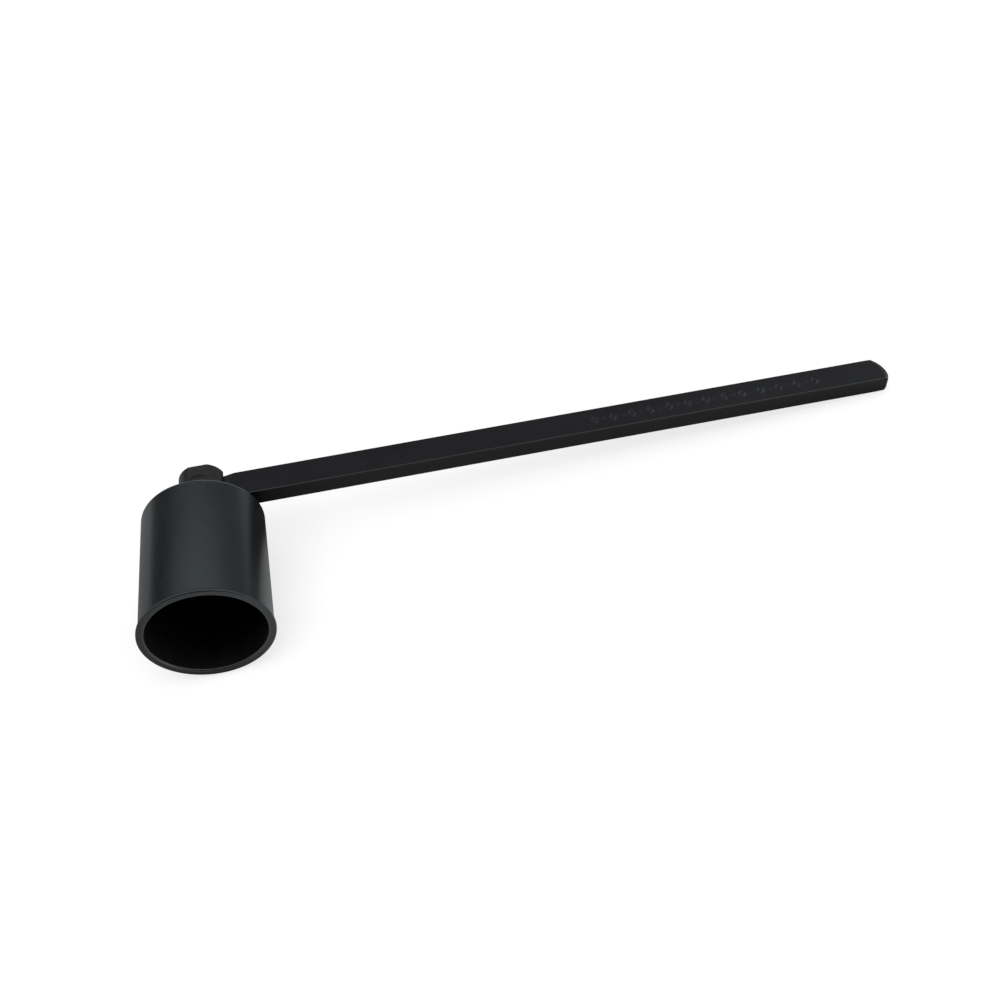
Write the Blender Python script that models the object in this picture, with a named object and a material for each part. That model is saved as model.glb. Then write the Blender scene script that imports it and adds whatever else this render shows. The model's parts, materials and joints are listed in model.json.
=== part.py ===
"""Candle snuffer: a drawn steel cup that pivots on the end of a flat bar handle.

The cup hangs on a short round knob with two milled flats.  The knob is slotted
like a clevis, the thinned end of the handle sits in the slot, and a rivet
through both cheeks, headed on the flats, is the pivot.  A screw inside the cup
holds cup and knob together.

Frame: the snuffer lies on its side with the handle at right angles to the cup.
+X runs along the handle towards its free end, -Y along the cup's axis towards
its open mouth, and +Z up, along the rivet.  The origin is under the middle of
the bounding box, so the cup's lip rests on z = 0.  All pieces are drawn round
the middle of the rivet, and PIVOT places it.
"""
import math

import bpy
import bmesh
from mathutils import Vector

MM = 0.001

# ---------------------------------------------------------------- dimensions
FACE_GAP = 0.04 * MM            # between faces that touch
SIDES = (("front", 1), ("rear", -1))    # +Z side and -Z side

# cup
CUP_HEIGHT = 35.87 * MM
CUP_R_TOP = 15.14 * MM          # outside, at the closed end
CUP_R_MOUTH = 15.45 * MM        # outside, just behind the lip
CUP_WALL = 1.50 * MM
CUP_TOP_PLATE = 1.50 * MM
CUP_TOP_EDGE = 0.60 * MM        # rounded outside edge of the closed end
CUP_INNER_EDGE = 1.20 * MM      # rounded inside corner of the closed end
CUP_HOLE_R = 1.70 * MM
LIP_R = 15.88 * MM
LIP_HEIGHT = 0.95 * MM
LIP_FLARE = 0.28 * MM           # height over which the wall steps out
LIP_FLARE_EDGE = 0.12 * MM      # rounded edge where the flare ends
LIP_EDGE = 0.36 * MM            # rounded outside edge of the mouth
MOUTH_EDGE = 0.60 * MM          # rounded inside edge of the mouth
CUP_SEGMENTS = 72

# knob
PIVOT_TO_CUP = 9.10 * MM        # rivet axis to the cup's closed end
KNOB_R = 6.05 * MM
KNOB_FLAT = 5.45 * MM           # milled flats, from the knob's axis
KNOB_TOP = 5.61 * MM            # end away from the cup, from the rivet axis
KNOB_EDGE = 0.22 * MM
SLOT_FLOOR = 5.20 * MM          # from the rivet axis, towards the cup
KNOB_SEGMENTS = 64
KNOB_OVERCUT = 2.00 * MM        # how far the cutters reach past the knob

# handle
BAR_WIDTH = 8.30 * MM
BAR_THICKNESS = 4.50 * MM
BAR_EDGE = 0.25 * MM
BAR_EDGE_SEGMENTS = 2
BAR_EDGE_MIN_ANGLE = math.radians(60)   # only sharper edges are bevelled
BAR_EYE_STEPS = 20              # half circle round the rivet
BAR_END_X = 185.10 * MM         # furthest point of the free end
BAR_END_RADIUS = 8.20 * MM      # the free end is slightly crowned
BAR_END_OFFSET = -1.40 * MM     # where the crown is highest, across the bar
BAR_END_STEPS = 12              # across the bar
BAR_END_CORNER_A = 0.80 * MM    # corner radius on the +Y edge
BAR_END_CORNER_B = 1.20 * MM    # corner radius on the -Y edge
BAR_END_CORNER_STEPS = 4
BAR_END_CLEARANCE = 0.20 * MM   # least spacing in Y, crown point to corner arc
TONGUE_THICKNESS = 2.90 * MM
SHOULDER_R_IN = 6.85 * MM       # gently sloped shoulder, from the rivet axis
SHOULDER_R_OUT = 10.05 * MM
SHOULDER_SEGMENTS = 72
SHOULDER_OVERCUT = 1.00 * MM    # above the bar's face
EYE_CUTTER_REACH = 3.00 * MM    # to each side of the bar's mid-plane

# rivet and friction washers
RIVET_R = 1.50 * MM
RIVET_RUNNING_GAP = 0.06 * MM   # radial, in the handle's eye
RIVET_CHEEK_GAP = 0.03 * MM     # radial, in the knob's cheeks
RIVET_HEAD_R = 2.35 * MM        # both heads are formed on the knob's flats
RIVET_HEAD_TOP = 5.97 * MM      # from the middle of the rivet
RIVET_HEAD_RIM = 0.16 * MM      # straight side below the dome
RIVET_DOME_STEPS = 6
FRICTION_WASHER_T = 0.30 * MM
FRICTION_WASHER_R = 3.70 * MM
FRICTION_WASHER_HOLE_R = 1.60 * MM

# fastening inside the cup: M3 x 6 pan head screw, lock washer, flat washer
SCREW_R = 1.50 * MM
SCREW_LENGTH = 6.00 * MM
SCREW_TIP_CHAMFER = 0.25 * MM
SCREW_HEAD_R = 2.75 * MM
SCREW_HEAD_FACE_R = 1.90 * MM   # flat face in the middle of the head
SCREW_HEAD_HEIGHT = 2.00 * MM
SCREW_HEAD_SIDE = 0.90 * MM     # straight part of the head's height
SCREW_HEAD_STEPS = 5
SCREW_HOLE_R = 1.56 * MM
SCREW_HOLE_DEPTH = 3.16 * MM
RECESS_ARM = 1.45 * MM
RECESS_HALF_WIDTH = 0.36 * MM
RECESS_DEPTH = 1.15 * MM
RECESS_OVERCUT = 1.00 * MM
RECESS_TURN_DEG = 18
LOCK_WASHER_T = 0.70 * MM
LOCK_WASHER_R_IN = 1.62 * MM
LOCK_WASHER_R_OUT = 2.85 * MM
LOCK_WASHER_GAP_DEG = 13.0
LOCK_WASHER_TURN_DEG = 25
LOCK_WASHER_STEPS = 36
FLAT_WASHER_T = 0.60 * MM
FLAT_WASHER_R_IN = 1.65 * MM
FLAT_WASHER_R_OUT = 3.90 * MM

FINE_SEGMENTS = 32              # rivet, screw and every drilled hole
WASHER_SEGMENTS = 40
SMOOTH_ANGLE = math.radians(35)  # sharper edges of a turned piece stay crisp

# worked out from the sizes above
PIVOT = (-(BAR_END_X - LIP_R) / 2,
         (CUP_HEIGHT + PIVOT_TO_CUP - KNOB_TOP) / 2,
         LIP_R)
SLOT_WIDTH = TONGUE_THICKNESS + 2 * (FRICTION_WASHER_T + 2 * FACE_GAP)
KNOB_BASE = -PIVOT_TO_CUP + FACE_GAP    # knob's end face at the cup
# upper faces (+Y) of the washers and of the screw's head, inside the cup
FLAT_WASHER_Y = -PIVOT_TO_CUP - CUP_TOP_PLATE - FACE_GAP
LOCK_WASHER_Y = FLAT_WASHER_Y - FLAT_WASHER_T - FACE_GAP
SCREW_Y = LOCK_WASHER_Y - LOCK_WASHER_T - FACE_GAP


# ------------------------------------------------------------ scene helpers
def clear_scene():
    for ob in list(bpy.data.objects):
        bpy.data.objects.remove(ob, do_unlink=True)
    for group in (bpy.data.meshes, bpy.data.materials):
        for block in list(group):
            if block.users == 0:
                group.remove(block)


def material(name, colour, roughness, metallic):
    mat = bpy.data.materials.new(name)
    mat.use_nodes = True
    bsdf = mat.node_tree.nodes["Principled BSDF"]
    bsdf.inputs["Base Color"].default_value = (*colour, 1.0)
    bsdf.inputs["Roughness"].default_value = roughness
    bsdf.inputs["Metallic"].default_value = metallic
    mat.diffuse_color = (*colour, 1.0)
    return mat


def along_y(turn_deg=0):
    """Rotation that takes local +Z to +Y, then turns the piece about Y."""
    return (math.radians(-90), math.radians(turn_deg), 0)


def add_object(mesh, mat, parent, location=(0, 0, 0), rotation=(0, 0, 0)):
    """Object named after its mesh; a cutter has no material."""
    ob = bpy.data.objects.new(mesh.name, mesh)
    bpy.context.scene.collection.objects.link(ob)
    ob.location = location
    ob.rotation_euler = rotation
    ob.parent = parent
    if mat is not None:
        mesh.materials.append(mat)
    return ob


def empty(name, location):
    ob = bpy.data.objects.new(name, None)
    bpy.context.scene.collection.objects.link(ob)
    ob.empty_display_size = 0.01
    ob.location = location
    return ob


def cut(ob, tool_mesh, location=(0, 0, 0), rotation=(0, 0, 0)):
    """Subtract a mesh, as a hidden cutter with the same parent as the piece."""
    tool = add_object(tool_mesh, None, ob.parent, location, rotation)
    tool.hide_render = True
    tool.display_type = 'WIRE'
    mod = ob.modifiers.new("cut_" + tool.name, 'BOOLEAN')
    mod.operation = 'DIFFERENCE'
    mod.solver = 'EXACT'
    mod.object = tool


# ---------------------------------------------------------- outline helpers
def round_corner(before, corner, after, radius, steps):
    """Points of the arc of this radius that replaces a corner of a polyline."""
    corner = Vector(corner)
    to_before = (Vector(before) - corner).normalized()
    to_after = (Vector(after) - corner).normalized()
    half = to_before.angle(to_after) / 2
    reach = radius / math.tan(half)
    centre = corner + (to_before + to_after).normalized() * (radius / math.sin(half))
    start = corner + to_before * reach - centre
    end = corner + to_after * reach - centre
    start_angle = math.atan2(start.y, start.x)
    end_angle = math.atan2(end.y, end.x)
    # the shorter way round
    sweep = (end_angle - start_angle + math.pi) % (2 * math.pi) - math.pi
    return [(centre.x + radius * math.cos(start_angle + sweep * i / steps),
             centre.y + radius * math.sin(start_angle + sweep * i / steps))
            for i in range(steps + 1)]


def rounded_outline(corners):
    """corners: (x, y, radius, steps), radius 0 keeps a sharp corner."""
    outline = []
    for i, (x, y, radius, steps) in enumerate(corners):
        if radius <= 0:
            outline.append((x, y))
            continue
        before, after = corners[i - 1], corners[(i + 1) % len(corners)]
        outline += round_corner(before[:2], (x, y), after[:2], radius, steps)
    return outline


def quarter_ellipse(start, end, steps):
    """(radius, z) points that leave start along Z and reach end along the radius."""
    (r_start, z_start), (r_end, z_end) = start, end
    angles = [math.pi / 2 * i / steps for i in range(steps + 1)]
    return [(r_end + (r_start - r_end) * math.cos(angle),
             z_start + (z_end - z_start) * math.sin(angle)) for angle in angles]


def ring_section(r_in, r_out, z_low, z_high):
    return [(r_in, z_low), (r_out, z_low), (r_out, z_high), (r_in, z_high)]


# ------------------------------------------------------------- mesh helpers
def finish_mesh(bm, name, smooth=False):
    bmesh.ops.recalc_face_normals(bm, faces=bm.faces)
    mesh = bpy.data.meshes.new(name)
    bm.to_mesh(mesh)
    bm.free()
    if smooth:
        mesh.shade_smooth()
        mesh.set_sharp_from_angle(angle=SMOOTH_ANGLE)
    return mesh


def spin_about_z(bm, geom, angle, steps):
    bmesh.ops.spin(bm, geom=geom, cent=(0, 0, 0), axis=(0, 0, 1),
                   dvec=(0, 0, 0), angle=angle, steps=steps,
                   use_merge=False, use_duplicate=False)


def turned(name, profile, segments, closed=True, smooth=True):
    """Turn a profile of (radius, z) points about Z.

    closed: the profile is a loop clear of the axis, for a ring; otherwise
    it starts and ends on the axis, for a solid.
    """
    bm = bmesh.new()
    verts = [bm.verts.new((r, 0, z)) for r, z in profile]
    edges = [bm.edges.new(pair) for pair in zip(verts, verts[1:])]
    if closed:
        edges.append(bm.edges.new((verts[-1], verts[0])))
    spin_about_z(bm, verts + edges, 2 * math.pi, segments)
    bmesh.ops.remove_doubles(bm, verts=bm.verts, dist=2e-7)
    return finish_mesh(bm, name, smooth)


def prism(name, outline, z_low, z_high):
    """Extrude a closed outline of (x, y) points between two heights."""
    bm = bmesh.new()
    face = bm.faces.new([bm.verts.new((x, y, z_low)) for x, y in outline])
    extruded = bmesh.ops.extrude_face_region(bm, geom=[face])
    moved = [g for g in extruded["geom"] if isinstance(g, bmesh.types.BMVert)]
    bmesh.ops.translate(bm, verts=moved, vec=(0, 0, z_high - z_low))
    return finish_mesh(bm, name)


def box(name, low, high):
    outline = [(low[0], low[1]), (high[0], low[1]),
               (high[0], high[1]), (low[0], high[1])]
    return prism(name, outline, low[2], high[2])


def rod(name, radius, z_low, z_high):
    """Drill along Z, with a flat facet rather than a corner facing +X."""
    angles = [2 * math.pi * (i + 0.5) / FINE_SEGMENTS for i in range(FINE_SEGMENTS)]
    outline = [(radius * math.cos(angle), radius * math.sin(angle)) for angle in angles]
    return prism(name, outline, z_low, z_high)


# ----------------------------------------------------------------------- cup
def cup_profile():
    """Section of the cup, (radius, z), z = 0 on the closed end, mouth below."""
    mouth = -CUP_HEIGHT
    lip_top = mouth + LIP_HEIGHT
    return rounded_outline([
        (CUP_HOLE_R, 0.0, 0, 0),
        (CUP_R_TOP, 0.0, CUP_TOP_EDGE, 4),
        (CUP_R_MOUTH, lip_top, 0, 0),
        (LIP_R, lip_top - LIP_FLARE, LIP_FLARE_EDGE, 2),
        (LIP_R, mouth, LIP_EDGE, 3),
        (CUP_R_MOUTH - CUP_WALL, mouth, MOUTH_EDGE, 5),
        (CUP_R_TOP - CUP_WALL, -CUP_TOP_PLATE, CUP_INNER_EDGE, 4),
        (CUP_HOLE_R, -CUP_TOP_PLATE, 0, 0),
    ])


def make_cup(mat, parent):
    mesh = turned("snuffer_cup", cup_profile(), CUP_SEGMENTS)
    add_object(mesh, mat, parent, (0, -PIVOT_TO_CUP, 0), along_y())


# ---------------------------------------------------------------------- knob
def make_knob(mat, parent):
    """Slotted round stud with two flats; local Z runs away from the cup."""
    profile = rounded_outline([
        (0, KNOB_BASE, 0, 0), (KNOB_R, KNOB_BASE, KNOB_EDGE, 2),
        (KNOB_R, KNOB_TOP, KNOB_EDGE, 3), (0, KNOB_TOP, 0, 0)])
    mesh = turned("pivot_knob", profile, KNOB_SEGMENTS, closed=False)
    knob = add_object(mesh, mat, parent, rotation=along_y())

    reach = KNOB_R + KNOB_OVERCUT
    beyond_top = KNOB_TOP + KNOB_OVERCUT
    beyond_base = KNOB_BASE - KNOB_OVERCUT
    cut(knob, box("knob_slot_cutter", (-reach, -SLOT_FLOOR, -SLOT_WIDTH / 2),
                  (reach, beyond_top, SLOT_WIDTH / 2)))
    cut(knob, rod("knob_bore_cutter", RIVET_R + RIVET_CHEEK_GAP, -reach, reach))
    for side, sign in SIDES:
        z_low, z_high = sorted((sign * KNOB_FLAT, sign * reach))
        cut(knob, box(f"flat_{side}_cutter", (-reach, beyond_base, z_low),
                      (reach, beyond_top, z_high)))
    cut(knob, rod("knob_screw_hole_cutter", SCREW_HOLE_R,
                  beyond_base, KNOB_BASE + SCREW_HOLE_DEPTH), rotation=along_y())


# -------------------------------------------------------------------- handle
def end_x(y):
    """x of the crowned free end at a place across the bar."""
    return (BAR_END_X - BAR_END_RADIUS
            + math.sqrt(BAR_END_RADIUS ** 2 - (y - BAR_END_OFFSET) ** 2))


def bar_outline():
    """Outline of the handle seen along the rivet, round the pivot eye."""
    half = BAR_WIDTH / 2
    # from the +Y side round to the -Y side
    eye_angles = [math.pi * i / BAR_EYE_STEPS for i in range(BAR_EYE_STEPS + 1)]
    eye = [(-half * math.sin(angle), half * math.cos(angle)) for angle in eye_angles]
    # from the -Y side back to the +Y side
    crown = [(end_x(y), y) for y in
             (-half + BAR_WIDTH * i / BAR_END_STEPS for i in range(BAR_END_STEPS + 1))]
    # the third crown point in gives the slope of the end at each corner
    low_corner = round_corner((0, -half), crown[0], crown[3],
                              BAR_END_CORNER_B, BAR_END_CORNER_STEPS)
    high_corner = round_corner(crown[-4], crown[-1], (0, half),
                               BAR_END_CORNER_A, BAR_END_CORNER_STEPS)
    y_min = low_corner[-1][1] + BAR_END_CLEARANCE
    y_max = high_corner[0][1] - BAR_END_CLEARANCE
    middle = [point for point in crown if y_min < point[1] < y_max]
    return eye + low_corner + middle + high_corner


def shoulder_mesh(name, sign):
    """Turned tool that leaves the tongue and the conical shoulder behind."""
    tongue, full = TONGUE_THICKNESS / 2, BAR_THICKNESS / 2
    slope = (full - tongue) / (SHOULDER_R_OUT - SHOULDER_R_IN)
    top = full + SHOULDER_OVERCUT
    r_top = SHOULDER_R_IN + (top - tongue) / slope
    profile = [(0, tongue), (SHOULDER_R_IN, tongue), (r_top, top), (0, top)]
    return turned(name, [(r, sign * z) for r, z in profile],
                  SHOULDER_SEGMENTS, closed=False, smooth=False)


def make_handle(mat, parent):
    half = BAR_THICKNESS / 2
    handle = add_object(prism("handle_bar", bar_outline(), -half, half), mat, parent)
    bevel = handle.modifiers.new("edges", 'BEVEL')
    bevel.width = BAR_EDGE
    bevel.segments = BAR_EDGE_SEGMENTS
    bevel.limit_method = 'ANGLE'
    bevel.angle_limit = BAR_EDGE_MIN_ANGLE
    for side, sign in SIDES:
        cut(handle, shoulder_mesh(f"shoulder_{side}_cutter", sign))
    cut(handle, rod("handle_eye_cutter", RIVET_R + RIVET_RUNNING_GAP,
                    -EYE_CUTTER_REACH, EYE_CUTTER_REACH))


# --------------------------------------------------------------------- pivot
def make_rivet(mat, parent):
    seat = KNOB_FLAT + FACE_GAP
    dome = quarter_ellipse((RIVET_HEAD_R, seat + RIVET_HEAD_RIM),
                           (0, RIVET_HEAD_TOP), RIVET_DOME_STEPS)
    # the dome's last point is on the axis and closes the profile
    upper = [(RIVET_R, seat), (RIVET_HEAD_R, seat)] + dome[:-1] + [(0, RIVET_HEAD_TOP)]
    profile = [(r, -z) for r, z in reversed(upper)] + upper
    mesh = turned("pivot_rivet", profile, FINE_SEGMENTS, closed=False)
    add_object(mesh, mat, parent)


def make_friction_washers(mat, parent):
    """One on each face of the handle's tongue."""
    face = TONGUE_THICKNESS / 2 + FACE_GAP
    section = ring_section(FRICTION_WASHER_HOLE_R, FRICTION_WASHER_R,
                           0, FRICTION_WASHER_T)
    for side, z in (("front", face), ("rear", -face - FRICTION_WASHER_T)):
        mesh = turned(f"friction_washer_{side}", section, WASHER_SEGMENTS)
        add_object(mesh, mat, parent, (0, 0, z))


# ------------------------------------------------- fastening inside the cup
def make_flat_washer(mat, parent):
    section = ring_section(FLAT_WASHER_R_IN, FLAT_WASHER_R_OUT, -FLAT_WASHER_T, 0)
    mesh = turned("flat_washer", section, WASHER_SEGMENTS)
    add_object(mesh, mat, parent, (0, FLAT_WASHER_Y, 0), along_y())


def make_lock_washer(mat, parent):
    """Split ring, left open by the gap."""
    section = ring_section(LOCK_WASHER_R_IN, LOCK_WASHER_R_OUT, -LOCK_WASHER_T, 0)
    bm = bmesh.new()
    face = bm.faces.new([bm.verts.new((r, 0, z)) for r, z in section])
    spin_about_z(bm, [face], 2 * math.pi - math.radians(LOCK_WASHER_GAP_DEG),
                 LOCK_WASHER_STEPS)
    mesh = finish_mesh(bm, "lock_washer", smooth=True)
    add_object(mesh, mat, parent, (0, LOCK_WASHER_Y, 0), along_y(LOCK_WASHER_TURN_DEG))


def make_screw(mat, parent):
    """Pan head screw with a cross recess; z = 0 is under the head."""
    profile = [(0, SCREW_LENGTH),
               (SCREW_R - SCREW_TIP_CHAMFER, SCREW_LENGTH),
               (SCREW_R, SCREW_LENGTH - SCREW_TIP_CHAMFER),
               (SCREW_R, 0),
               (SCREW_HEAD_R, 0)]
    profile += quarter_ellipse((SCREW_HEAD_R, -SCREW_HEAD_SIDE),
                               (SCREW_HEAD_FACE_R, -SCREW_HEAD_HEIGHT),
                               SCREW_HEAD_STEPS)
    profile.append((0, -SCREW_HEAD_HEIGHT))
    mesh = turned("cup_screw", profile, FINE_SEGMENTS, closed=False)
    place = (0, SCREW_Y, 0)
    screw = add_object(mesh, mat, parent, place, along_y())

    arm, half = RECESS_ARM, RECESS_HALF_WIDTH
    cross = [(half, -arm), (half, -half), (arm, -half),
             (arm, half), (half, half), (half, arm),
             (-half, arm), (-half, half), (-arm, half),
             (-arm, -half), (-half, -half), (-half, -arm)]
    recess = prism("screw_recess_cutter", cross, -SCREW_HEAD_HEIGHT - RECESS_OVERCUT,
                   -SCREW_HEAD_HEIGHT + RECESS_DEPTH)
    cut(screw, recess, place, along_y(RECESS_TURN_DEG))


def main():
    clear_scene()
    coat = material("black_powder_coat", colour=(0.022, 0.024, 0.025),
                    roughness=0.48, metallic=0.0)
    oxide = material("black_oxide_steel", colour=(0.055, 0.055, 0.058),
                     roughness=0.42, metallic=1.0)
    nylon = material("black_nylon", colour=(0.018, 0.018, 0.019),
                     roughness=0.6, metallic=0.0)

    # both sit on the rivet: one carries the handle, the other all the rest
    handle_frame = empty("handle_frame", PIVOT)
    head_axis = empty("head_pivot_axis", PIVOT)

    make_handle(coat, handle_frame)
    make_cup(coat, head_axis)
    make_knob(coat, head_axis)
    make_rivet(coat, head_axis)
    make_friction_washers(nylon, head_axis)
    make_flat_washer(oxide, head_axis)
    make_lock_washer(oxide, head_axis)
    make_screw(oxide, head_axis)
    bpy.context.view_layer.update()


main()
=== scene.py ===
"""Hinged candle snuffer: a matte black cup on a slotted knob, riveted to a flat bar.

All places are measured from the pivot, the middle of the rivet.  The rivet lies along Z,
the handle runs along +X, and the cup hangs along -Y with its mouth facing -Y.
"""
import json
import math

import bpy
import bmesh
from mathutils import Matrix, Vector


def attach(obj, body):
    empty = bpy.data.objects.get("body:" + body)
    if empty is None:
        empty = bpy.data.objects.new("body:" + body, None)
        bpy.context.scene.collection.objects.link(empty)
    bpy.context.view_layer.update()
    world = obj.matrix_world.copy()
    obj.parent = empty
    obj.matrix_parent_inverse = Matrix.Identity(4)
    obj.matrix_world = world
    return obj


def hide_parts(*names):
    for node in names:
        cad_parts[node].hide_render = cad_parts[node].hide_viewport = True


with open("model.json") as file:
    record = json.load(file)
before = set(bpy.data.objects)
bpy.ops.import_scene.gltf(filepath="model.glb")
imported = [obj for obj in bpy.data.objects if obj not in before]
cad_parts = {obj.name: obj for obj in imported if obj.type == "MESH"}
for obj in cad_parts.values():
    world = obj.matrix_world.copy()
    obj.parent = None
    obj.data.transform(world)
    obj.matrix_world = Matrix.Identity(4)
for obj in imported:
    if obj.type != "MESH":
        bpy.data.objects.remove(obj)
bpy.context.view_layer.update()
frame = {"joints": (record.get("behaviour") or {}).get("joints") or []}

MM = 0.001
HEAD, HANDLE = "snuffer_head", "handle"
PIVOT = Vector(frame["joints"][0]["pos_m"])

# Cup: heights along Y, radii about Y
CUP_TOP = -9.10 * MM                     # closed end
CUP_MOUTH = CUP_TOP - 35.87 * MM
CUP_TOP_R, CUP_MOUTH_R, LIP_R = 15.14 * MM, 15.45 * MM, 15.88 * MM
CUP_WALL, CUP_PLATE = 1.50 * MM, 1.50 * MM
CUP_HOLE_R = 1.70 * MM

# Knob: turned about Y, slotted for the handle
KNOB_R, KNOB_TOP = 6.05 * MM, 5.61 * MM
KNOB_LOW = CUP_TOP + 0.04 * MM
KNOB_FLAT = 5.45 * MM                    # half thickness between its two flats
SLOT_HALF, SLOT_FLOOR = 1.83 * MM, -5.20 * MM
SCREW_HOLE_R, SCREW_HOLE_DEPTH = 1.56 * MM, 3.16 * MM

# Handle: half sizes of the bar, and the arc that closes its free end
TONGUE_HALF, BAR_HALF, BAR_HALF_W = 1.45 * MM, 2.25 * MM, 4.15 * MM
BAR_EDGE = 0.25 * MM
END_X, END_R, END_CENTRE_Y = 185.10 * MM, 8.20 * MM, -1.40 * MM

# Fastening inside the cup: seats stacked from the plate towards the mouth
FIT = 0.04 * MM
FLAT_WASHER_T, LOCK_WASHER_T, STEEL_EDGE = 0.60 * MM, 0.70 * MM, 0.06 * MM
FLAT_WASHER_SEAT = CUP_TOP - CUP_PLATE - FIT
LOCK_WASHER_SEAT = FLAT_WASHER_SEAT - (FLAT_WASHER_T + FIT)
SCREW_SEAT = LOCK_WASHER_SEAT - (LOCK_WASHER_T + FIT)


# ------------------------------------------------------------ node materials
class NodeNet:
    """Adds and wires shader nodes in an emptied tree."""

    def __init__(self, tree):
        self.tree = tree
        tree.nodes.clear()

    def add(self, kind, inputs=None, **settings):
        """Add a node; an input is either a socket to link or a value."""
        node = self.tree.nodes.new("ShaderNode" + kind)
        for key, value in settings.items():
            setattr(node, key, value)
        for name, value in (inputs or {}).items():
            socket = node.inputs[name]
            if isinstance(value, bpy.types.NodeSocket):
                self.tree.links.new(value, socket)
            else:
                socket.default_value = (*value, 1.0) if socket.type == 'RGBA' else value
        return node

    def math(self, operation, first, second, clamp=False):
        return self.add("Math", {0: first, 1: second}, operation=operation,
                        use_clamp=clamp).outputs[0]

    def plus(self, first, second, clamp=False):
        return self.math('ADD', first, second, clamp)

    def minus(self, first, second, clamp=False):
        return self.math('SUBTRACT', first, second, clamp)

    def times(self, value, by):
        return self.math('MULTIPLY', value, by)

    def blend(self, first, second, share):
        """Weighted mean, with the given share of the first."""
        return self.plus(self.times(first, by=share), self.times(second, by=1 - share))

    def ramp(self, value, low, high, to_low=0.0, to_high=1.0, smooth=True):
        inputs = {"Value": value, "From Min": low, "From Max": high,
                  "To Min": to_low, "To Max": to_high}
        return self.add("MapRange", inputs, clamp=True,
                        interpolation_type='SMOOTHSTEP' if smooth else 'LINEAR',
                        ).outputs["Result"]

    def noise(self, vector, scale, detail, rough, distortion=0.0):
        return self.add("TexNoise", {
            "Vector": vector, "Scale": scale, "Detail": detail,
            "Roughness": rough, "Distortion": distortion}).outputs["Fac"]

    def mix(self, factor, first, second):
        """Mix two colours; 6 and 7 are the colour sockets of a Mix node."""
        return self.add("Mix", {0: factor, 6: first, 7: second},
                        data_type='RGBA').outputs[2]

    def coords(self):
        return self.add("TexCoord").outputs["Object"]

    def dot(self, first, second):
        return self.add("VectorMath", {0: first, 1: second},
                        operation='DOT_PRODUCT').outputs["Value"]

    def edges(self, radius, low, high):
        """Mask of the edges: where a rounded normal leaves the true one."""
        bevel = self.add("Bevel", {"Radius": radius}, samples=6)
        true = self.add("NewGeometry")
        dot = self.dot(bevel.outputs["Normal"], true.outputs["Normal"])
        return self.ramp(self.minus(1.0, dot), low=low, high=high)

    def bump(self, height, strength, distance, under=None):
        inputs = {"Strength": strength, "Distance": distance, "Height": height}
        if under is not None:
            inputs["Normal"] = under
        return self.add("Bump", inputs).outputs["Normal"]

    def principled(self, inputs):
        bsdf = self.add("BsdfPrincipled", inputs)
        self.add("OutputMaterial", {"Surface": bsdf.outputs["BSDF"]})


def new_material(name):
    mat = bpy.data.materials.new(name)
    mat.use_nodes = True
    return mat, NodeNet(mat.node_tree)


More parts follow.
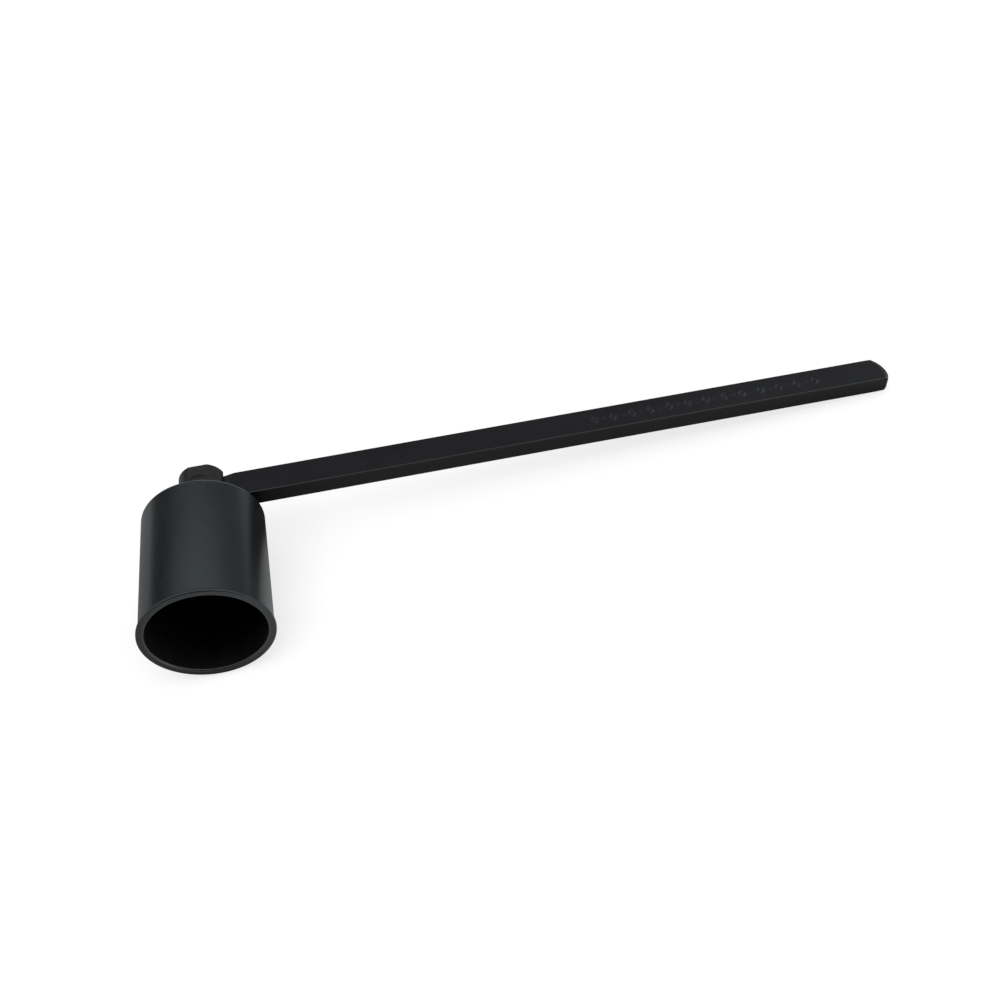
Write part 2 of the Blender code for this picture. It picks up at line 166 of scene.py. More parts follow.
def coat(name, tint, roughness, specular, peel, wear_and_highlight, dust=0.0, soot=0.0, sheen=0.0,
         hue=(1.0, 1.0, 1.0)):
    """Black powder coat: mottled tint, orange peel, uneven sheen, edges lightened by rubbing
    and by a painted highlight, dust.

    peel is the bump strength of the orange peel, the wear amount the lightening of the edges
    (part rubbing, part painted highlight), dust the share of cells with a speck, sheen the
    extra specular on edges, hue the specular tint.
    """
    mat, net = new_material(name)
    coords = net.coords()
    mapped = net.add("Mapping", {"Vector": coords}).outputs["Vector"]
    cloud = net.noise(coords, scale=55.0, detail=2.0, rough=0.5)
    mottle = net.noise(mapped, scale=620.0, detail=4.0, rough=0.6)
    grain = net.noise(mapped, scale=4200.0, detail=3.0, rough=0.6)
    orange = net.noise(mapped, scale=1500.0, detail=2.0, rough=0.45)

    # tint: slow clouding and a fine mottle vary it by 28 % either way
    dark = tuple(channel * 0.72 for channel in tint)
    light = tuple(channel * 1.28 for channel in tint)
    amount = net.blend(cloud, mottle, share=0.55)
    colour = net.mix(net.ramp(amount, low=0.32, high=0.68), dark, light)

    # rubbed edges, in patches: partly real wear, partly a painted highlight that lightens the
    # edges
    edge = net.edges(radius=0.32 * MM, low=0.01, high=0.16)
    patchy = net.ramp(net.noise(coords, scale=260.0, detail=4.0, rough=0.65),
                      low=0.40, high=0.66)
    rub_and_highlight = net.times(net.times(edge, patchy), by=wear_and_highlight)
    worn_and_highlight = (0.075, 0.076, 0.078)
    colour = net.mix(rub_and_highlight, colour, worn_and_highlight)

    if dust > 0:
        # rare, tiny, pale specks
        speck_radius, speck_strength = 0.045, 0.65
        speck_colour = (0.22, 0.22, 0.21)
        cell = net.add("TexVoronoi", {"Vector": coords, "Scale": 230.0}, feature='F1')
        near = net.math('LESS_THAN', cell.outputs["Distance"], speck_radius)
        split = net.add("SeparateColor", {"Color": cell.outputs["Color"]})
        rare = net.math('GREATER_THAN', split.outputs[0], 1.0 - dust)
        speck = net.times(net.times(near, rare), by=speck_strength)
        colour = net.mix(speck, colour, speck_colour)

    rough = net.ramp(net.blend(mottle, cloud, share=0.6), low=0.3, high=0.7,
                     to_low=roughness - 0.02, to_high=roughness + 0.025)
    # the coat runs thin and smooth over the edges, more so where they are rubbed
    rough = net.minus(rough, net.times(edge, by=0.13))
    rough = net.minus(rough, net.times(rub_and_highlight, by=0.06), clamp=True)

    if soot > 0:
        soot_colour = (0.0030, 0.0028, 0.0027)
        smoke = net.ramp(net.noise(coords, scale=140.0, detail=5.0, rough=0.6,
                                   distortion=0.6), low=0.35, high=0.65)
        smoke = net.times(smoke, by=soot)
        colour = net.mix(smoke, colour, soot_colour)
        rough = net.plus(rough, net.times(smoke, by=0.25), clamp=True)

    peeled = net.bump(orange, strength=peel, distance=0.02 * MM)
    normal = net.bump(grain, strength=0.35, distance=0.006 * MM, under=peeled)
    net.principled({"Base Color": colour, "Roughness": rough,
                    "Specular IOR Level": net.plus(net.times(edge, by=sheen), specular),
                    "Specular Tint": hue, "Normal": normal})
    return mat


def oxide_steel(name):
    """Blackened steel: dark metal with browned patches and brighter edges."""
    mat, net = new_material(name)
    coords = net.coords()
    black, brown, bright = (0.030, 0.030, 0.032), (0.062, 0.058, 0.054), (0.20, 0.195, 0.19)
    fine = net.noise(coords, scale=2600.0, detail=4.0, rough=0.6)
    patch = net.ramp(net.noise(coords, scale=420.0, detail=4.0, rough=0.6),
                     low=0.35, high=0.7)
    colour = net.mix(patch, black, brown)
    edge = net.edges(radius=0.12 * MM, low=0.02, high=0.2)
    colour = net.mix(net.times(edge, by=0.6), colour, bright)
    net.principled({"Base Color": colour, "Metallic": 0.9,
                    "Roughness": net.ramp(fine, low=0.3, high=0.7,
                                          to_low=0.34, to_high=0.5),
                    "Normal": net.bump(fine, strength=0.25, distance=0.01 * MM)})
    return mat


def nylon(name):
    mat, net = new_material(name)
    dark, light = (0.014, 0.014, 0.015), (0.026, 0.026, 0.027)
    fine = net.noise(net.coords(), scale=1900.0, detail=3.0, rough=0.5)
    colour = net.mix(net.ramp(fine, low=0.3, high=0.7), dark, light)
    net.principled({"Base Color": colour,
                    "Roughness": net.ramp(fine, low=0.3, high=0.7,
                                          to_low=0.52, to_high=0.66),
                    "Normal": net.bump(fine, strength=0.2, distance=0.01 * MM)})
    return mat


CUP_COAT = coat("cup_powder_coat", tint=(0.0050, 0.0058, 0.0061), roughness=0.30,
                specular=0.48, peel=0.14, wear_and_highlight=0.35, dust=0.012, sheen=0.95,
                hue=(0.88, 1.0, 1.08))
# lighter, glossier copy of the cup coat for the mouth's inner rounding: a painted highlight
CUP_RIM_HIGHLIGHT = coat("cup_rim_highlight_coat", tint=(0.0100, 0.0108, 0.0112), roughness=0.27,
               specular=0.95, peel=0.14, wear_and_highlight=0.5, hue=(1.0, 1.0, 1.02))
# lighter, glossier copy of the cup coat for the rounding of the closed end's edge: a painted
# highlight
CUP_EDGE_HIGHLIGHT = coat("cup_edge_highlight_coat", tint=(0.0090, 0.0096, 0.0100), roughness=0.27,
                specular=1.75, peel=0.14, wear_and_highlight=0.5, hue=(0.98, 1.0, 1.02))
CUP_INSIDE = coat("cup_inside_coat", tint=(0.0055, 0.0055, 0.0062), roughness=0.68,
                  specular=0.14, peel=0.32, wear_and_highlight=0.0, soot=0.8)
KNOB_COAT = coat("knob_powder_coat", tint=(0.0064, 0.0066, 0.0070), roughness=0.42,
                 specular=0.32, peel=0.64, wear_and_highlight=0.6, sheen=0.25)
BAR_COAT = coat("handle_powder_coat", tint=(0.0042, 0.0044, 0.0048), roughness=0.32,
                specular=0.17, peel=0.20, wear_and_highlight=0.55, dust=0.006, sheen=0.8,
                hue=(0.98, 0.97, 1.10))
# lighter, glossier copy of the bar coat for its rounded edges: a painted highlight
BAR_RIM_HIGHLIGHT = coat("handle_edge_highlight_coat", tint=(0.0058, 0.0060, 0.0064), roughness=0.27,
               specular=0.46, peel=0.16, wear_and_highlight=0.5)
STEEL = oxide_steel("black_oxide")
NYLON = nylon("nylon_washer")


# ------------------------------------------------------------- mesh helpers
def arc_corner(before, corner, after, radius, steps):
    """Points of the arc that rounds a corner between its two neighbours."""
    tip = Vector(corner)
    back = (Vector(before) - tip).normalized()
    ahead = (Vector(after) - tip).normalized()
    half = back.angle(ahead) / 2
    reach = radius / math.tan(half)
    centre = tip + (back + ahead).normalized() * (radius / math.sin(half))
    start, end = tip + back * reach, tip + ahead * reach
    first = math.atan2(start.y - centre.y, start.x - centre.x)
    last = math.atan2(end.y - centre.y, end.x - centre.x)
    sweep = (last - first + math.pi) % (2 * math.pi) - math.pi
    return [(centre.x + radius * math.cos(first + sweep * i / steps),
             centre.y + radius * math.sin(first + sweep * i / steps))
            for i in range(steps + 1)]


def ring_section(inner, outer, low, high, edge, outer_low=None):
    """Rounded section of a washer; outer_low is (radius, steps) of that corner."""
    corners = [(inner, low), (outer, low), (outer, high), (inner, high)]
    rounds = [(edge, 3), outer_low or (edge, 3), (edge, 3), (edge, 3)]
    section = []
    for i, corner in enumerate(corners):
        section += arc_corner(corners[i - 1], corner, corners[(i + 1) % 4], *rounds[i])
    return section


def circle(radius, segments, centre_x=0.0):
    return [(centre_x + radius * math.cos(2 * math.pi * i / segments),
             radius * math.sin(2 * math.pi * i / segments))
            for i in range(segments)]


def from_pivot(x, y, z):
    return PIVOT + Vector((x, y, z))


def along_y(radius, height, angle):
    return from_pivot(radius * math.cos(angle), height, -radius * math.sin(angle))


def along_z(radius, height, angle):
    return from_pivot(radius * math.cos(angle), radius * math.sin(angle), height)


def to_mesh(shape, name):
    bmesh.ops.recalc_face_normals(shape, faces=shape.faces)
    mesh = bpy.data.meshes.new(name)
    shape.to_mesh(mesh)
    shape.free()
    return mesh


def turned(name, profile, segments, place, closed=True, zones=None, start=0.0, gap=0.0):
    """Turn (radius, height) points about the axis of place, leaving an angle of gap open.

    zones gives the material of the band that starts at each point.
    """
    shape = bmesh.new()
    count = segments + 1 if gap else segments
    sweep = 2 * math.pi - gap
    rings = []
    for radius, height in profile:
        if radius < 1e-9:
            rings.append([shape.verts.new(place(0.0, height, 0.0))])
        else:
            rings.append([shape.verts.new(place(radius, height,
                                                start + sweep * i / segments))
                          for i in range(count)])
    pairs = list(zip(rings, rings[1:])) + ([(rings[-1], rings[0])] if closed else [])
    for k, (near, far) in enumerate(pairs):
        for i in range(segments):
            j = (i + 1) % count
            if len(near) == 1:
                corners = (near[0], far[i], far[j])
            elif len(far) == 1:
                corners = (near[i], near[j], far[0])
            else:
                corners = (near[i], near[j], far[j], far[i])
            face = shape.faces.new(corners)
            if zones:
                face.material_index = zones[k]
    if gap:
        shape.faces.new([ring[0] for ring in rings])
        shape.faces.new([ring[-1] for ring in reversed(rings)])
    return to_mesh(shape, name)


def prism(outline, low, high, taper=0.0, place=from_pivot):
    """Cutting tool: an extruded outline; taper draws in the points of the low end."""
    shape = bmesh.new()
    count = len(outline)
    mid_x = sum(point[0] for point in outline) / count
    mid_y = sum(point[1] for point in outline) / count
    bottom = [shape.verts.new(place(mid_x + (x - mid_x) * (1 - taper),
                                    mid_y + (y - mid_y) * (1 - taper), low))
              for x, y in outline]
    top = [shape.verts.new(place(x, y, high)) for x, y in outline]
    shape.faces.new(list(reversed(bottom)))
    shape.faces.new(top)
    for i in range(count):
        j = (i + 1) % count
        shape.faces.new((bottom[i], bottom[j], top[j], top[i]))
    return to_mesh(shape, "tool")


# ----------------------------------------------------------- object helpers
def put(name, mesh, *mats):
    piece = bpy.data.objects.new(name, mesh)
    bpy.context.scene.collection.objects.link(piece)
    for mat in mats:
        mesh.materials.append(mat)
    return piece


def apply_all(piece):
    """Apply every modifier, then clean the mesh."""
    bpy.context.view_layer.update()
    graph = bpy.context.evaluated_depsgraph_get()
    mesh = bpy.data.meshes.new_from_object(piece.evaluated_get(graph),
                                           preserve_all_data_layers=True,
                                           depsgraph=graph)
    old = piece.data
    piece.modifiers.clear()
    piece.data = mesh
    mesh.name = piece.name
    bpy.data.meshes.remove(old)


def tidy(piece):
    """Merge points that lie on each other and drop faces without area."""
    near = 0.0012 * MM
    shape = bmesh.new()
    shape.from_mesh(piece.data)
    bmesh.ops.remove_doubles(shape, verts=shape.verts, dist=near)
    bmesh.ops.dissolve_degenerate(shape, edges=shape.edges, dist=near)
    loose = [vert for vert in shape.verts if not vert.link_faces]
    bmesh.ops.delete(shape, geom=loose, context='VERTS')
    shape.to_mesh(piece.data)
    shape.free()


def carve(piece, meshes):
    """Cut the tool meshes out of the piece with exact Booleans."""
    tools = []
    for i, mesh in enumerate(meshes):
        tool = put(f"tool_{i}", mesh, piece.data.materials[0])
        tools.append(tool)
        cut = piece.modifiers.new(f"cut_{i}", 'BOOLEAN')
        cut.operation = 'DIFFERENCE'
        cut.solver = 'EXACT'
        cut.object = tool
    apply_all(piece)
    for tool in tools:
        mesh = tool.data
        bpy.data.objects.remove(tool)
        bpy.data.meshes.remove(mesh)
    tidy(piece)


def soften(piece, width, segments, angle):
    """Round every edge sharper than the angle, in degrees."""
    bevel = piece.modifiers.new("edges", 'BEVEL')
    bevel.width = width
    bevel.segments = segments
    bevel.limit_method = 'ANGLE'
    bevel.angle_limit = math.radians(angle)
    bevel.harden_normals = False
    bevel.use_clamp_overlap = True
    apply_all(piece)
    tidy(piece)


def finish_piece(piece, body, node):
    """Shade smooth with large flat faces kept flat, and register with the frame."""
    piece.data.shade_smooth()
    piece.data.set_sharp_from_angle(angle=math.radians(40.0))
    normals = piece.modifiers.new("normals", 'WEIGHTED_NORMAL')
    normals.mode = 'FACE_AREA'
    normals.weight = 80
    normals.keep_sharp = True
    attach(piece, body)
    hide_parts(node)


# ---------------------------------------------------------------------- cup
def wall_points(first, second, start, end, parts):
    """Inner division points between two heights, on the line through two corners."""
    points = []
    for i in range(1, parts):
        height = start + (end - start) * i / parts
        share = (height - first[1]) / (second[1] - first[1])
        points.append((first[0] + (second[0] - first[0]) * share, height))
    return points


def build_cup():
    # material slots, in the order the materials are given below
    outside, inside, rim, edge = range(4)
    lip_top = CUP_MOUTH + 0.95 * MM
    plate_in = CUP_TOP - CUP_PLATE
    shoulder, wall_foot = (CUP_TOP_R, CUP_TOP), (CUP_MOUTH_R, lip_top)
    lip_upper, lip_lower = (LIP_R, lip_top - 0.28 * MM), (LIP_R, CUP_MOUTH)
    mouth_in = (CUP_MOUTH_R - CUP_WALL, CUP_MOUTH)
    shoulder_in = (CUP_TOP_R - CUP_WALL, plate_in)
    points, zones = [], []

    def band(new, new_zones):
        points.extend(new)
        zones.extend(new_zones if isinstance(new_zones, list) else [new_zones] * len(new))

    # closed end: flat, with a very shallow dish round the knob's foot; (radius, dip) in mm
    dish = [(6.2, 0), (6.6, 0.035), (7.6, 0.035), (8.2, 0), (13.6, 0)]
    band([(CUP_HOLE_R, CUP_TOP)], outside)
    band([(radius * MM, CUP_TOP - dip * MM) for radius, dip in dish], outside)
    # the middle of this rounding takes the lighter edge copy of the coat: a painted highlight
    band(arc_corner((0.0, CUP_TOP), shoulder, wall_foot, 0.66 * MM, 12),
         [outside] * 3 + [edge] * 9 + [outside])
    band(wall_points(shoulder, wall_foot, CUP_TOP - 0.8 * MM, lip_top + 0.5 * MM, 12),
         outside)
    # the wall sweeps out into the lip, which is rounded over to the mouth
    band(arc_corner(shoulder, wall_foot, lip_upper, 0.30 * MM, 4), outside)
    band(arc_corner(wall_foot, lip_upper, lip_lower, 0.14 * MM, 4), outside)
    band(arc_corner(lip_upper, lip_lower, mouth_in, 0.36 * MM, 8), outside)
    band([(15.32 * MM, CUP_MOUTH)], outside)
    # quarter ellipse from the lip's face into the mouth; its middle takes the lighter rim copy
    # of the coat, a painted highlight
    wide, deep, steps = 0.62 * MM, 0.50 * MM, 14
    angles = [math.pi / 2 * i / steps for i in range(steps + 1)]
    band([(mouth_in[0] + wide - wide * math.sin(angle),
           CUP_MOUTH + deep * (1 - math.cos(angle))) for angle in angles],
         [outside] * 2 + [rim] * 10 + [outside] * 2 + [inside])
    band(wall_points(mouth_in, shoulder_in, CUP_MOUTH + 1.2 * MM, plate_in - 1.8 * MM, 10),
         inside)
    band(arc_corner(mouth_in, shoulder_in, (0.0, plate_in), 1.20 * MM, 7), inside)
    band([(radius, plate_in) for radius in (8.0 * MM, 4.4 * MM, CUP_HOLE_R)], inside)
    cup = put("cup", turned("cup", points, 256, along_y, zones=zones),
              CUP_COAT, CUP_INSIDE, CUP_RIM_HIGHLIGHT, CUP_EDGE_HIGHLIGHT)
    finish_piece(cup, HEAD, "snuffer_cup")


# --------------------------------------------------------------------- knob
def build_knob():
    low_corner, top_corner = (KNOB_R, KNOB_LOW), (KNOB_R, KNOB_TOP)
    foot, crown = (0.0, KNOB_LOW), (0.0, KNOB_TOP)
    profile = [foot]
    profile += arc_corner(foot, low_corner, top_corner, 0.22 * MM, 4)
    profile += arc_corner(low_corner, top_corner, crown, 0.22 * MM, 5)
    profile.append(crown)
    knob = put("knob", turned("knob", profile, 160, along_y, closed=False), KNOB_COAT)

    over = 3 * MM                        # how far the tools stand out of the knob
    beyond = 9 * MM                      # half length of the tools along Z

    def block(low_y, low_z, high_z):
        half_x, high_y = KNOB_R + over, KNOB_TOP + over
        return prism([(-half_x, low_y), (half_x, low_y), (half_x, high_y),
                      (-half_x, high_y)], low_z, high_z)

    flats = [block(KNOB_LOW - over, KNOB_FLAT, beyond),
             block(KNOB_LOW - over, -beyond, -KNOB_FLAT)]
    slot = block(SLOT_FLOOR, -SLOT_HALF, SLOT_HALF)
    bore = prism(circle(1.53 * MM, 64), -beyond, beyond)
    hole_start, hole_end = KNOB_LOW - over, KNOB_LOW + SCREW_HOLE_DEPTH
    hole = turned("tool", [(0.0, hole_start), (SCREW_HOLE_R, hole_start),
                           (SCREW_HOLE_R, hole_end), (0.0, hole_end)],
                  64, along_y, closed=False)
    carve(knob, flats + [slot, bore, hole])
    soften(knob, width=0.12 * MM, segments=3, angle=32.0)
    finish_piece(knob, HEAD, "pivot_knob")


def build_rivet():
    """Pin with a low domed head on each flat of the knob."""
    seat, top, rim = KNOB_FLAT + 0.02 * MM, 5.97 * MM, 0.14 * MM
    pin_r, head_r, chamfer, steps = 1.5 * MM, 2.35 * MM, 0.05 * MM, 14
    upper = [(pin_r, seat), (head_r - chamfer, seat), (head_r, seat + chamfer)]
    upper += [(head_r * math.cos(math.pi / 2 * i / steps),
               seat + rim + (top - seat - rim) * math.sin(math.pi / 2 * i / steps))
              for i in range(steps)]
    lower = [(radius, -z) for radius, z in reversed(upper)]
    profile = [(0.0, -top)] + lower + upper + [(0.0, top)]
    rivet = put("rivet", turned("rivet", profile, 96, along_z, closed=False), KNOB_COAT)
    finish_piece(rivet, HEAD, "pivot_rivet")


def build_friction_washers():
    """One washer on each side of the tongue, in the knob's slot."""
    thick = 0.30 * MM
    near = TONGUE_HALF + FIT
    for side, low in (("front", near), ("rear", -near - thick)):
        name = f"hinge_washer_{side}"
        section = ring_section(1.60 * MM, 3.70 * MM, low, low + thick, edge=0.05 * MM)
        washer = put(name, turned(name, section, 96, along_z), NYLON)
        finish_piece(washer, HEAD, f"friction_washer_{side}")


# ------------------------------------------------------------------- handle
def end_x(y):
    return END_X - END_R + math.sqrt(END_R ** 2 - (y - END_CENTRE_Y) ** 2)


def handle_outline():
    """Rows of x, y, outward normal x, y, and nearness to the free end (0 to 1)."""
    eye = [(-BAR_HALF_W * math.sin(math.pi * i / 48), BAR_HALF_W * math.cos(math.pi * i / 48))
           for i in range(49)]
    crown = [(end_x(y), y) for y in
             (-BAR_HALF_W + 2 * BAR_HALF_W * i / 24 for i in range(25))]
    low = arc_corner((0, -BAR_HALF_W), crown[0], crown[6], 1.20 * MM, 10)
    high = arc_corner(crown[-7], crown[-1], (0, BAR_HALF_W), 0.50 * MM, 10)
    clear = 0.15 * MM
    middle = [point for point in crown if low[-1][1] + clear < point[1] < high[0][1] - clear]
    # stations along both straight edges keep the long faces evenly divided
    stations = [10 * MM + 166 * MM * i / 18 for i in range(19)] + [179 * MM, 181.5 * MM]
    points = eye + [(x, -BAR_HALF_W) for x in stations] + low + middle + high \
        + [(x, BAR_HALF_W) for x in reversed(stations)]
    rows = []
    for i, (x, y) in enumerate(points):
        (back_x, back_y), (next_x, next_y) = points[i - 1], points[(i + 1) % len(points)]
        tangent = Vector((next_x - back_x, next_y - back_y)).normalized()
        near = min(1.0, max(0.0, (x - 181.0 * MM) / (3.0 * MM)))
        rows.append((x, y, tangent.y, -tangent.x, near * near * (3 - 2 * near)))
    return rows


def bar_levels():
    """Heights through the bar with the inset of each, at the sides and at the end.

    The long edges are just broken; the free end is ground to a short slope.
    """
    low, steps, end_inset = BAR_HALF - BAR_EDGE, 6, 0.14 * MM
    half = [(low * k, 0.0, end_inset * max(0.0, k - 0.6) / 0.4) for k in (0.0, 0.3, 0.6, 0.8)]
    for i in range(steps + 1):
        angle = math.pi / 2 * i / steps
        half.append((low + BAR_EDGE * math.sin(angle), BAR_EDGE * (1 - math.cos(angle)),
                     end_inset + 0.95 * MM * (i / steps) ** 1.3))
    return [(-z, side, end) for z, side, end in reversed(half[1:])] + half


def bar_mesh():
    shape = bmesh.new()
    outline, levels, rings = handle_outline(), bar_levels(), []
    for z, side, end in levels:
        ring = []
        for x, y, normal_x, normal_y, near in outline:
            inset = side + (end - side) * near
            inset_y = inset
            if abs(normal_y) > 0.9:      # the long edges take only part of the end's slope
                inset_y = side + (end * 0.35 - side) * near
            ring.append(shape.verts.new(from_pivot(x - normal_x * inset,
                                                   y - normal_y * inset_y, z)))
        rings.append(ring)
    count = len(outline)
    for k in range(len(rings) - 1):
        lower, upper = rings[k], rings[k + 1]
        rim = abs(levels[k][0] + levels[k + 1][0]) / 2 > BAR_HALF - BAR_EDGE
        for i in range(count):
            j = (i + 1) % count
            face = shape.faces.new((lower[i], lower[j], upper[j], upper[i]))
            # the rounded edges take the lighter edge copy of the coat: a painted highlight
            face.material_index = 1 if rim else 0
    shape.faces.new(list(reversed(rings[0])))
    shape.faces.new(rings[-1])
    return to_mesh(shape, "handle")


STAMP_DEPTH, STAMP_OVER = 0.16 * MM, 0.4 * MM    # below and above the bar's +Z face


def diamond(half_x, half_y):
    return [(half_x, 0), (half_x / 2, half_y / 2), (0, half_y), (-half_x / 2, half_y / 2),
            (-half_x, 0), (-half_x / 2, -half_y / 2), (0, -half_y),
            (half_x / 2, -half_y / 2)]


def diamond_stamp(centre_x):
    """Tool for one diamond-shaped groove, a little wider at the top."""
    outer, inner = diamond(1.15 * MM, 1.50 * MM), diamond(0.66 * MM, 0.90 * MM)
    shape = bmesh.new()
    loops = []
    for z, grow in ((BAR_HALF - STAMP_DEPTH, -0.03 * MM), (BAR_HALF + STAMP_OVER, 0.05 * MM)):
        for points, sign in ((outer, 1), (inner, -1)):
            loop = []
            for x, y in points:
                scale = 1 + sign * grow / math.hypot(x, y)
                loop.append(shape.verts.new(from_pivot(centre_x + x * scale, y * scale, z)))
            loops.append(loop)
    low_out, low_in, high_out, high_in = loops
    count = len(outer)
    for i in range(count):
        j = (i + 1) % count
        shape.faces.new((low_out[i], low_out[j], high_out[j], high_out[i]))
        shape.faces.new((low_in[j], low_in[i], high_in[i], high_in[j]))
        shape.faces.new((high_out[i], high_out[j], high_in[j], high_in[i]))
        shape.faces.new((low_out[j], low_out[i], low_in[i], low_in[j]))
    return to_mesh(shape, "tool")


def stamped_border():
    """Tools for a row of diamonds with dots between, on the bar's +Z face."""
    first, pitch, count, tools = 104.0, 5.1, 13, []      # in mm
    for i in range(count):
        centre_x = (first + pitch * i) * MM
        tools.append(diamond_stamp(centre_x))
        if i < count - 1:
            tools.append(prism(circle(0.36 * MM, 24, centre_x + pitch / 2 * MM),
                               BAR_HALF - STAMP_DEPTH, BAR_HALF + STAMP_OVER))
    return tools


def build_handle():
    handle = put("handle", bar_mesh(), BAR_COAT, BAR_RIM_HIGHLIGHT)
    # thinner tongue with a gently sloped shoulder, and the eye for the rivet
    flat_r, slope, above = 6.85 * MM, 0.25, BAR_HALF + 1 * MM
    reach = flat_r + (above - TONGUE_HALF) / slope
    tools = []
    for side in (1, -1):
        profile = [(0.0, side * TONGUE_HALF), (flat_r, side * TONGUE_HALF),
                   (reach, side * above), (0.0, side * above)]
        tools.append(turned("tool", profile, 192, along_z, closed=False))
    tools.append(prism(circle(1.56 * MM, 64), -4 * MM, 4 * MM))
    carve(handle, tools + stamped_border())
    finish_piece(handle, HANDLE, "handle_bar")


# ---------------------------------------------------- fastening in the cup
def build_flat_washer():
    section = ring_section(1.65 * MM, 3.90 * MM, FLAT_WASHER_SEAT - FLAT_WASHER_T,
                           FLAT_WASHER_SEAT, STEEL_EDGE, outer_low=(0.1 * MM, 4))
    washer = put("plain_washer", turned("plain_washer", section, 128, along_y), STEEL)
    finish_piece(washer, HEAD, "flat_washer")


def build_lock_washer():
    section = ring_section(1.62 * MM, 2.85 * MM, LOCK_WASHER_SEAT - LOCK_WASHER_T,
                           LOCK_WASHER_SEAT, STEEL_EDGE)
    mesh = turned("split_washer", section, 120, along_y,
                  start=math.radians(-65), gap=math.radians(13.0))
    finish_piece(put("split_washer", mesh, STEEL), HEAD, "lock_washer")


def build_screw():
    """Domed screw with a cross recess; its shank points along +Y."""
    head, head_r, crown_r = 2.0 * MM, 2.75 * MM, 1.9 * MM
    shank_r, length, chamfer = 1.5 * MM, 6.0 * MM, 0.25 * MM
    straight, steps = head * 0.45, 12
    tip, head_end = SCREW_SEAT + length, SCREW_SEAT - head
    profile = [(0.0, tip), (shank_r - chamfer, tip), (shank_r, tip - chamfer),
               (shank_r, SCREW_SEAT), (head_r - STEEL_EDGE, SCREW_SEAT),
               (head_r, SCREW_SEAT - STEEL_EDGE)]
    for i in range(steps + 1):
        angle = math.pi / 2 * i / steps
        profile.append((head_r - (head_r - crown_r) * (1 - math.cos(angle)),
                        SCREW_SEAT - straight - (head - straight) * math.sin(angle)))
    profile.append((0.0, head_end))
    screw = put("screw", turned("screw", profile, 128, along_y, closed=False), STEEL)

    arm, half = 1.45 * MM, 0.36 * MM
    cross = [(half, -arm), (half, -half), (arm, -half), (arm, half), (half, half),
             (half, arm), (-half, arm), (-half, half), (-arm, half), (-arm, -half),
             (-half, -half), (-half, -arm)]
    turn = math.radians(18)

    def into_head(x, z, y):
        cos, sin = math.cos(turn), math.sin(turn)
        return from_pivot(x * cos - z * sin, y, x * sin + z * cos)

    carve(screw, [prism(cross, head_end + 1.15 * MM, head_end - 0.4 * MM,
                        taper=0.45, place=into_head)])
    soften(screw, width=0.05 * MM, segments=2, angle=45)
    finish_piece(screw, HEAD, "cup_screw")


# --------------------------------------------------- floor, light and camera
def floor_lean():
    """Slope of the floor, which touches the cup's lip and the tip of the handle."""
    tip = Vector((END_X, 0, -BAR_HALF))
    lean = math.asin((LIP_R - BAR_HALF) / END_X)
    for _ in range(20):
        drop = tip.x * math.sin(lean) - tip.z * math.cos(lean)
        lean += (LIP_R - drop) / tip.x
    return lean


def mirrored_level(net, coords):
    """Painted reflection of the paper as seen in the coating: a grey glow, with painted shade
    beside the snuffer.
    """
    # the painted shade is aimed as if the light came a little from the right (+X) and the
    # front (-Y)
    aim = net.add("CombineXYZ", {"X": 0.30, "Y": -0.25, "Z": 0.92})
    shade = net.add("AmbientOcclusion", {"Distance": 42 * MM, "Normal": aim.outputs["Vector"]},
                    samples=16, only_local=False)
    where = net.add("SeparateXYZ", {"Vector": coords})

    def along(axis, start, end, to_low=0.0, to_high=1.0):
        """Ramp between two distances from the pivot, in mm; axis 0 is X, 1 is Y."""
        return net.ramp(where.outputs[axis], low=PIVOT[axis] + start * MM,
                        high=PIVOT[axis] + end * MM, to_low=to_low, to_high=to_high)

    # painted light and shade: the glow is set by position, brighter toward +X and changing
    # with distance in front of and behind the pivot
    across = along(0, -50, 30, to_low=0.48, to_high=0.96)
    far_side = along(1, -10, 0)
    far_low = net.plus(along(0, -10, 12, to_low=0.80, to_high=0.10),
                       along(0, 45, 95, to_low=0.0, to_high=0.60))
    far_high = along(0, -20, 60, to_low=1.25, to_high=0.62)
    far_level = along(1, 26, 100, to_low=far_low, to_high=far_high)
    near_level = along(1, -85, -50, to_low=1.15, to_high=0.92)
    level = net.plus(net.times(far_side, far_level),
                     net.times(net.minus(1.0, far_side), near_level))
    contrast = 2.3
    dim = net.math('POWER', net.ramp(shade.outputs["AO"], low=0.0, high=1.0, smooth=False),
                   contrast)
    return net.times(net.times(across, level), dim)


def white_sweep():
    """Paper that glows white to the camera, with a soft shade near the snuffer."""
    mat, net = new_material("white_sweep")
    coords = net.coords()
    tone = net.ramp(net.noise(coords, scale=9.0, detail=3.0, rough=0.5),
                    low=0.3, high=0.7, to_low=0.78, to_high=0.82)
    tint = net.add("CombineColor", {"Red": tone, "Green": tone, "Blue": tone})
    paper = net.add("BsdfDiffuse", {"Color": tint.outputs["Color"]})
    shade = net.add("AmbientOcclusion", {"Distance": 26 * MM}, samples=16, only_local=False)
    glow = net.add("Emission", {"Strength": net.ramp(
        shade.outputs["AO"], low=0.30, high=0.90, to_low=0.80, to_high=1.02)})
    mirrored = net.add("Emission", {"Strength": mirrored_level(net, coords)})
    path = net.add("LightPath")
    pick = net.add("MixShader", {0: path.outputs["Is Glossy Ray"], 1: paper.outputs["BSDF"],
                                 2: mirrored.outputs["Emission"]})
    mix = net.add("MixShader", {0: path.outputs["Is Camera Ray"], 1: pick.outputs[0],
                                2: glow.outputs["Emission"]})
    net.add("OutputMaterial", {"Surface": mix.outputs[0]})
    return mat


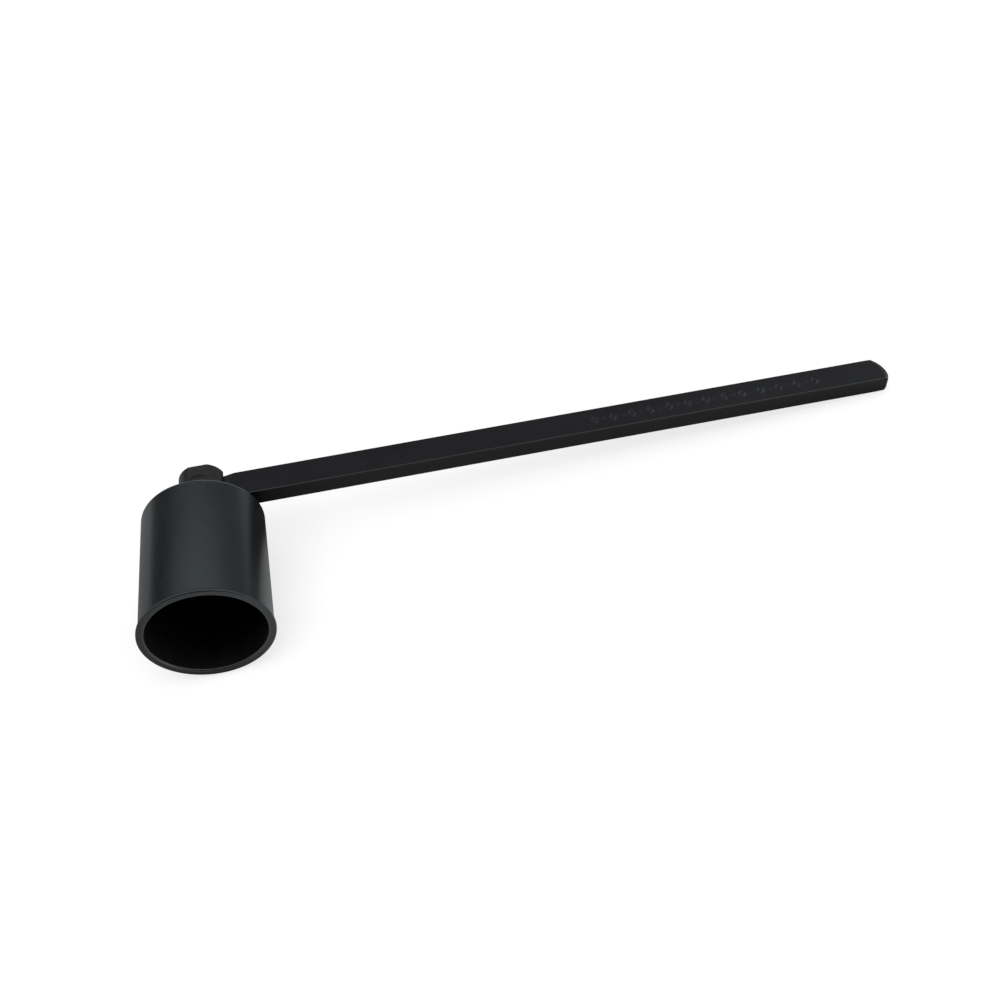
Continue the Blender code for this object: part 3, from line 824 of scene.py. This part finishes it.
def build_floor():
    lean, size = floor_lean(), 6.0
    normal = Vector((-math.sin(lean), 0, math.cos(lean)))
    across = Vector((math.cos(lean), 0, math.sin(lean)))
    base = PIVOT - normal * (LIP_R + 0.02 * MM)
    shape = bmesh.new()
    shape.faces.new([
        shape.verts.new(base + across * (side_x * size) + Vector((0, side_y * size, 0)))
        for side_x, side_y in ((-1, -1), (1, -1), (1, 1), (-1, 1))])
    floor = put("floor", to_mesh(shape, "floor"))
    floor.data.materials.append(white_sweep())


def build_world():
    """White to the camera; to everything else a soft box, dim walls and a backdrop."""
    world = bpy.data.worlds.new("studio")
    bpy.context.scene.world = world
    world.use_nodes = True
    net = NodeNet(world.node_tree)
    direction = net.add("TexCoord").outputs["Generated"]
    split = net.add("SeparateXYZ", {"Vector": direction})
    to_x, to_y, to_z = split.outputs

    def toward(vector):
        return net.dot(direction, Vector(vector).normalized())

    # one large soft box overhead, its rear (+Y) edge at about 45 degrees
    rear = net.ramp(toward((-0.03, -0.81, 0.583)), low=-0.23, high=-0.02)
    near = net.ramp(to_y, low=-0.55, high=-0.15)
    overhead = net.times(net.times(rear, near), by=1.62)
    # dim walls, a little more on the right (+X), and a dark room in front (-Y)
    right = net.ramp(to_x, low=-0.1, high=0.75, to_low=0.0, to_high=0.27)
    front = net.ramp(to_y, low=-0.75, high=0.25, to_low=0.35, to_high=1.0)
    wall_base = 0.05
    walls = net.times(net.plus(right, wall_base), front)
    # a bright low backdrop at the rear
    backdrop = net.times(net.ramp(toward((0.28, 0.96, 0.0)), low=0.86, high=0.98),
                         net.ramp(to_z, low=-0.04, high=0.10, to_low=1.0, to_high=0.0))
    level = net.plus(net.plus(overhead, walls), backdrop)
    soft = net.add("Background", {"Color": (0.97, 0.995, 1.0), "Strength": level})
    white = net.add("Background", {"Color": (1, 1, 1), "Strength": 1.02})
    path = net.add("LightPath")
    mix = net.add("MixShader", {0: path.outputs["Is Camera Ray"], 1: soft.outputs[0],
                                2: white.outputs[0]})
    net.add("OutputWorld", {"Surface": mix.outputs[0]})


def build_camera():
    """Camera in front of (-Y) and above the snuffer, looking down at it."""
    data = bpy.data.cameras.new("camera")
    camera = bpy.data.objects.new("camera", data)
    bpy.context.scene.collection.objects.link(camera)
    data.sensor_width = 36.0
    data.lens = 40.712
    data.clip_start = 0.01
    data.clip_end = 30.0
    place = PIVOT + Vector((47.257, -210.562, 210.375)) * MM
    turn = Matrix(((0.9790780, 0.1803338, -0.0942651),
                   (-0.1965137, 0.7177378, -0.6680081),
                   (-0.0528068, 0.6725564, 0.7381594)))
    camera.matrix_world = Matrix.Translation(place) @ turn.to_4x4()
    bpy.context.scene.camera = camera


build_cup()
build_knob()
build_rivet()
build_friction_washers()
build_handle()
build_flat_washer()
build_lock_washer()
build_screw()
build_floor()
build_world()
build_camera()

scene = bpy.context.scene
scene.view_settings.view_transform = 'Standard'
scene.view_settings.look = 'None'
